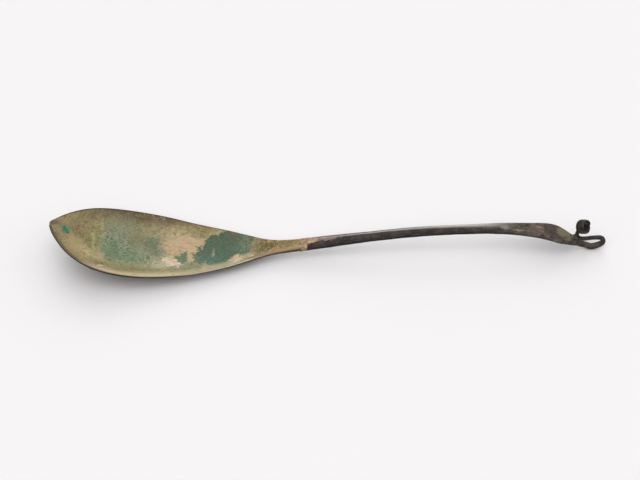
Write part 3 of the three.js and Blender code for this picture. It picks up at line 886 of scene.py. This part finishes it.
def bar_stations():
    """(centre, frame, width, height) of sections along the shaft and the blade, from the CAD."""
    edges = frame_edges("neck", "handle_shaft", "handle_blade", "hanging_eye")
    shaft_length = BLADE_START - SHAFT_START
    blade_length = BLADE_END - BLADE_START
    places = [SHAFT_START + shaft_length * i / SHAFT_STATIONS for i in range(SHAFT_STATIONS)]
    places += [BLADE_START + blade_length * i / BLADE_STATIONS for i in range(BLADE_STATIONS)]

    def height_at(x):
        low, high = cut(edges, x)
        return (low[1] + high[1]) / 2

    stations = []
    for x in places:
        low, high = cut(edges, x)
        before, after = max(x - SLOPE_STEP, SHAFT_START), x + SLOPE_STEP
        rise = (height_at(after) - height_at(before)) / (after - before)
        along = Vector((1, 0, rise)).normalized()
        square = Vector((-along.z, 0, along.x))
        lean = SCARF_SLOPE * max(0, 1 - (x - SHAFT_START) / SCARF_FADE)
        upward = square + along * lean
        centre = Vector((x, (low[0] + high[0]) / 2, (low[1] + high[1]) / 2))
        width = high[0] - low[0]
        height = (high[1] - low[1]) * along.x * upward.length
        stations.append((centre, section_frame(Y_AXIS, upward.normalized()), width, height))
    return stations


def eye_points():
    """The line of the wire, from the blade's end round the eye and up the stem."""
    def at(share, y, z):
        return Vector((BLADE_END + share * EYE_LENGTH, y, z))

    bend = (EYE_HIGH - EYE_LOW - EYE_TOE) / 2
    points = [
        Vector((BLADE_END, 0, WIRE_HEIGHT)),
        at(0.2, 0.75 * EYE_LEAN, EYE_LOW + 1.35 * MM),
        at(0.42, EYE_LEAN, EYE_LOW),
        at(0.56, EYE_LEAN, EYE_LOW + 0.2 * MM),
    ]
    for degrees in (-75, -45, -15, 15, 45, 75):
        angle = math.radians(degrees)
        lean = EYE_LEAN * (1 - math.sin(angle)) / 2
        offset = Vector((bend * (math.cos(angle) - 1), lean, bend * math.sin(angle)))
        points.append(at(0.87, 0, EYE_HIGH - bend) + offset)
    return points + [
        at(0.58, 0, EYE_HIGH),
        at(0.4, 0, EYE_HIGH - 0.15 * MM),
        at(0.16, 0, EYE_HIGH - 0.5 * MM),
        at(0.02, 0, EYE_HIGH - 0.3 * MM),
        at(-0.09, 0.3 * MM, EYE_HIGH + 0.5 * MM),
        at(-0.12, 1.3 * MM, EYE_HIGH + 1.2 * MM),
        at(-0.03, 2.8 * MM, EYE_HIGH + 2.1 * MM),
        at(0.15, 3.5 * MM, EYE_HIGH + 4.3 * MM),
    ]


def roll_points():
    """The line of the strip, wound inwards round the roll."""
    upward = (Z_AXIS - ROLL_AXIS * ROLL_AXIS.z).normalized()
    back = upward.cross(ROLL_AXIS)
    points = []
    for i in range(int(ROLL_TURNS * TURN_POINTS) + 1):
        turn = i / TURN_POINTS
        radius = ROLL_OUTSIDE - ROLL_PITCH * turn
        angle = 2 * math.pi * turn
        points.append(ROLL_CENTRE + (back * math.cos(angle) + upward * math.sin(angle)) * radius)
    return points


def smooth_line(points, steps):
    """Places on a smooth line through the points, with the share of its length before each."""
    points = [points[0] * 2 - points[1], *points, points[-1] * 2 - points[-2]]
    line = []
    for p0, p1, p2, p3 in zip(points, points[1:], points[2:], points[3:]):
        knots = [0.0]
        for a, b in ((p0, p1), (p1, p2), (p2, p3)):
            knots.append(knots[-1] + math.sqrt((b - a).length))
        t0, t1, t2, t3 = knots
        for i in range(steps):
            t = t1 + (t2 - t1) * i / steps
            a1 = p0.lerp(p1, (t - t0) / (t1 - t0))
            a2 = p1.lerp(p2, (t - t1) / (t2 - t1))
            a3 = p2.lerp(p3, (t - t2) / (t3 - t2))
            b1 = a1.lerp(a2, (t - t0) / (t2 - t0))
            b2 = a2.lerp(a3, (t - t1) / (t3 - t1))
            line.append(b1.lerp(b2, (t - t1) / (t2 - t1)))
    line.append(points[-2])
    lengths = [0.0]
    for a, b in zip(line, line[1:]):
        lengths.append(lengths[-1] + (b - a).length)
    return np.array(line), np.array(lengths) / lengths[-1]


def step_between(value, low, high):
    share = min(1, max(0, (value - low) / (high - low)))
    return share * share * (3 - 2 * share)


def wire_stations():
    """(centre, frame, width, height) of sections along the wire, from the eye into the roll."""
    eye, roll = eye_points(), roll_points()
    line, shares = smooth_line(eye + roll, LINE_STEPS)
    stem = shares[(len(eye) - 2) * LINE_STEPS]
    thin = shares[len(eye) * LINE_STEPS]
    rolled = shares[(len(eye) + 2) * LINE_STEPS]

    def at(share):
        return Vector([np.interp(share, shares, line[:, axis]) for axis in range(3)])

    places = [stem * i / EYE_STATIONS for i in range(EYE_STATIONS)]
    places += [stem + (1 - stem) * i / ROLL_STATIONS for i in range(ROLL_STATIONS + 1)]
    stations = []
    for share in places:
        before, after = max(share - DIRECTION_STEP, 0), min(share + DIRECTION_STEP, 1)
        along = (at(after) - at(before)).normalized()
        turn = step_between(share, 0.75 * stem, thin)
        side = Y_AXIS.lerp(-ROLL_AXIS, turn)
        side = (side - along * side.dot(along)).normalized()
        upward = along.cross(side)
        drawn = step_between(share, 0.2 * stem, 0.7 * stem)
        wire = EYE_WIRE + (END_WIRE - EYE_WIRE) * drawn
        width = wire + (ROLL_WIDTH - wire) * step_between(share, stem, rolled)
        height = wire + (ROLL_STRIP - wire) * step_between(share, stem, thin)
        stations.append((at(share), section_frame(side, upward), width, height))
    return stations


SMALLEST_TURN = 1e-6


def stretch_section(turned, across, upright, centre):
    """Scales the selected section across and upright in its own frame."""
    bpy.ops.transform.resize(
        value=(across, upright, 1), orient_type="GLOBAL", orient_matrix=turned,
        orient_matrix_type="GLOBAL", center_override=centre,
    )


def turn_section(turn, centre):
    """Turns the selected section about its centre by a rotation matrix."""
    axis, angle = turn.to_quaternion().to_axis_angle()
    if abs(angle) <= SMALLEST_TURN:
        return
    side = axis.orthogonal().normalized()
    bpy.ops.transform.rotate(
        value=angle, orient_axis="Z", orient_type="GLOBAL",
        orient_matrix=Matrix((side, axis.cross(side), axis)).transposed(),
        orient_matrix_type="GLOBAL", constraint_axis=(False, False, True), center_override=centre,
    )


def draw_out(piece, stations, rounding):
    """Extrudes the selected face from section to section, as a bar is drawn out under the hammer.

    rounding gives, by the number of the section, how far its outline is made round there.
    """
    centre, turned, width, height = stations[0]
    for i, (new_centre, new_frame, new_width, new_height) in enumerate(stations[1:], 1):
        bpy.ops.mesh.extrude_region_move(TRANSFORM_OT_translate={"value": new_centre - centre})
        if i in rounding:
            stretch_section(turned, 1 / width, 1 / height, new_centre)
            bpy.ops.transform.tosphere(value=rounding[i])
            mesh = bmesh.from_edit_mesh(piece.data)
            ring = [vertex.co - new_centre for vertex in mesh.verts if vertex.select]
            width = 2 * max(abs(co.dot(turned.col[0])) for co in ring)
            height = 2 * max(abs(co.dot(turned.col[1])) for co in ring)
        stretch_section(turned, new_width / width, new_height / height, new_centre)
        turn_section(new_frame @ turned.transposed(), new_centre)
        centre, turned, width, height = new_centre, new_frame, new_width, new_height


def make_handle():
    bar = bar_stations()
    wire = wire_stations()
    stations = bar + wire
    centre, turned, width, height = stations[0]
    bpy.ops.mesh.primitive_plane_add(size=1)
    handle = bpy.context.object
    handle.name = "handle"
    open_for_edit(handle)
    bpy.ops.mesh.select_all(action="SELECT")
    bpy.ops.mesh.bevel(offset=CORNER_SHARE, segments=CORNER_STEPS, profile=0.5, affect="VERTICES")
    bpy.ops.transform.resize(value=(width, height, 1), center_override=(0, 0, 0))
    turn_section(turned, (0, 0, 0))
    bpy.ops.transform.translate(value=centre)
    last = len(bar)
    # Where the blade is drawn out to wire, its outline is rounded step by step.
    rounding = {last - 6: 0.3, last - 3: 0.4, last - 1: 0.5, last + 1: 0.6}
    draw_out(handle, stations, rounding)
    face_outwards()
    close_edit()
    across, raised, forged = new_weights(handle, "across", "raised", "forged")
    for vertex in handle.data.vertices:
        number = vertex.index // RING
        centre, turned, width, height = stations[number]
        offset = vertex.co - centre
        across.add([vertex.index], 0.5 + offset.dot(turned.col[0]) / width, "REPLACE")
        raised.add([vertex.index], 0.5 + offset.dot(turned.col[1]) / height, "REPLACE")
        forged.add([vertex.index], 1 if 0 < number < len(bar) else WIRE_FORGING, "REPLACE")
    subdivide(handle, 2)
    displace(handle, "hammer_blows", HAMMER_BLOWS, "forged", noise_depth=1)
    displace(handle, "forge_scale", FORGE_SCALE, "forged", noise_depth=2)
    wear_flat(handle)
    return handle


# The solder of the joint

SOLDER_MIDDLE = Vector((-11.9, 0, 7.2)) * MM
SOLDER_STRANDS = 32
SOLDER_RINGS = 12
SOLDER_LENGTH = 2 * MM
SOLDER_HALF_WIDTH = 3.6 * MM
SOLDER_HALF_HEIGHT = 3.0 * MM
SOLDER_STAND = 0.1 * MM
SOLDER_THICK = 0.35 * MM
SOLDER_LUMPS = (1.5 * MM, 0.14 * MM)


def make_solder():
    """A ragged sleeve round the slanted joint, with a tongue along the top of the handle."""
    bpy.ops.mesh.primitive_circle_add(vertices=SOLDER_STRANDS, radius=1, rotation=(0, math.pi / 2, 0))
    sleeve = bpy.context.object
    sleeve.name = "solder"
    bpy.ops.object.transform_apply(location=False, rotation=True, scale=False)
    open_for_edit(sleeve)
    bpy.ops.mesh.select_all(action="SELECT")
    bpy.ops.transform.resize(value=(1, SOLDER_HALF_WIDTH, SOLDER_HALF_HEIGHT), center_override=(0, 0, 0))
    bpy.ops.transform.translate(value=SOLDER_MIDDLE - X_AXIS * SOLDER_LENGTH / 2)
    step = SOLDER_LENGTH / (SOLDER_RINGS - 1)
    for _ in range(SOLDER_RINGS - 1):
        bpy.ops.mesh.extrude_region_move(TRANSFORM_OT_translate={"value": (step, 0, 0)})
    for strand in range(SOLDER_STRANDS):
        choose(sleeve, lambda vertex: vertex.index % SOLDER_STRANDS == strand)
        mesh = bmesh.from_edit_mesh(sleeve.data)
        co = next(vertex.co for vertex in mesh.verts if vertex.select)
        raised = (co.z - SOLDER_MIDDLE.z) / SOLDER_HALF_HEIGHT
        sideways = (co.y - SOLDER_MIDDLE.y) / SOLDER_HALF_WIDTH
        swing = noise.noise(Vector((3.1 * raised, 3.1 * sideways, 4.0)))
        back = (-1.7 + 0.3 * raised + 0.4 * swing) * MM
        swing = noise.noise(Vector((2.6 * raised, 2.6 * sideways, 9.0)))
        ahead = (1.3 + 0.2 * raised + 0.5 * swing) * MM
        tongue = step_between(raised, 0.5, 0.8) * (1 - step_between(abs(sideways - 0.05), 0.3, 0.6))
        ahead += (5.6 + 1.5 * swing) * MM * tongue
        longer = (ahead - back) / SOLDER_LENGTH
        bpy.ops.transform.resize(value=(longer, 1, 1), center_override=SOLDER_MIDDLE)
        bpy.ops.transform.translate(value=((ahead + back) / 2, 0, 0))
    face_outwards()
    close_edit()
    bar = merged_copy("bar_solid", "neck", "solder_seam", "handle_shaft")
    apply_modifier(
        sleeve, "SHRINKWRAP", target=bar, wrap_method="NEAREST_SURFACEPOINT", wrap_mode="ABOVE_SURFACE",
        offset=SOLDER_STAND,
    )
    bpy.data.objects.remove(bar)
    apply_modifier(sleeve, "SOLIDIFY", thickness=SOLDER_THICK, offset=-1)
    subdivide(sleeve, 2)
    displace(sleeve, "solder_lumps", SOLDER_LUMPS, noise_depth=2)
    return sleeve


# The table and the room

TABLE_SIZE = 30
TABLE_DROP = 0.05 * MM
PAPER_WHITE = srgb(246, 244, 245)
ROOM_WHITE = srgb(246, 246, 248)
ROOM_STRENGTH = 0.12


def add_table():
    bpy.ops.mesh.primitive_plane_add(size=TABLE_SIZE, location=(0, 0, -TABLE_DROP))
    table = bpy.context.object
    table.name = "table"
    material, sheet, shader = new_material("pale_paper")
    sheet.feed(shader, {"Base Color": PAPER_WHITE, "Roughness": 0.9, "Specular IOR Level": 0.1})
    table.data.materials.append(material)


def add_surroundings():
    """A dim pale room outside the sheets."""
    world = bpy.data.worlds.new("room")
    bpy.context.scene.world = world
    world.use_nodes = True
    background = world.node_tree.nodes["Background"]
    Nodes(world.node_tree).feed(background, {"Color": ROOM_WHITE, "Strength": ROOM_STRENGTH})


def main():
    bpy.context.scene.view_settings.view_transform = "Standard"
    add_camera()
    add_surroundings()
    add_sheets()
    ragged_patch = ragged_patch_group()
    speckle = speckle_group()
    scratches = scratches_group()
    add_table()
    finish_piece(make_bowl(), bowl_finish(ragged_patch, speckle, scratches), "bowl_metal", "bowl", "neck")
    finish_piece(
        make_handle(), handle_finish(ragged_patch, speckle, scratches), "handle_metal",
        "handle_shaft", "handle_blade", "hanging_eye", "rolled_scroll",
    )
    finish_piece(make_solder(), solder_finish(speckle), "solder", "solder_seam")


main()
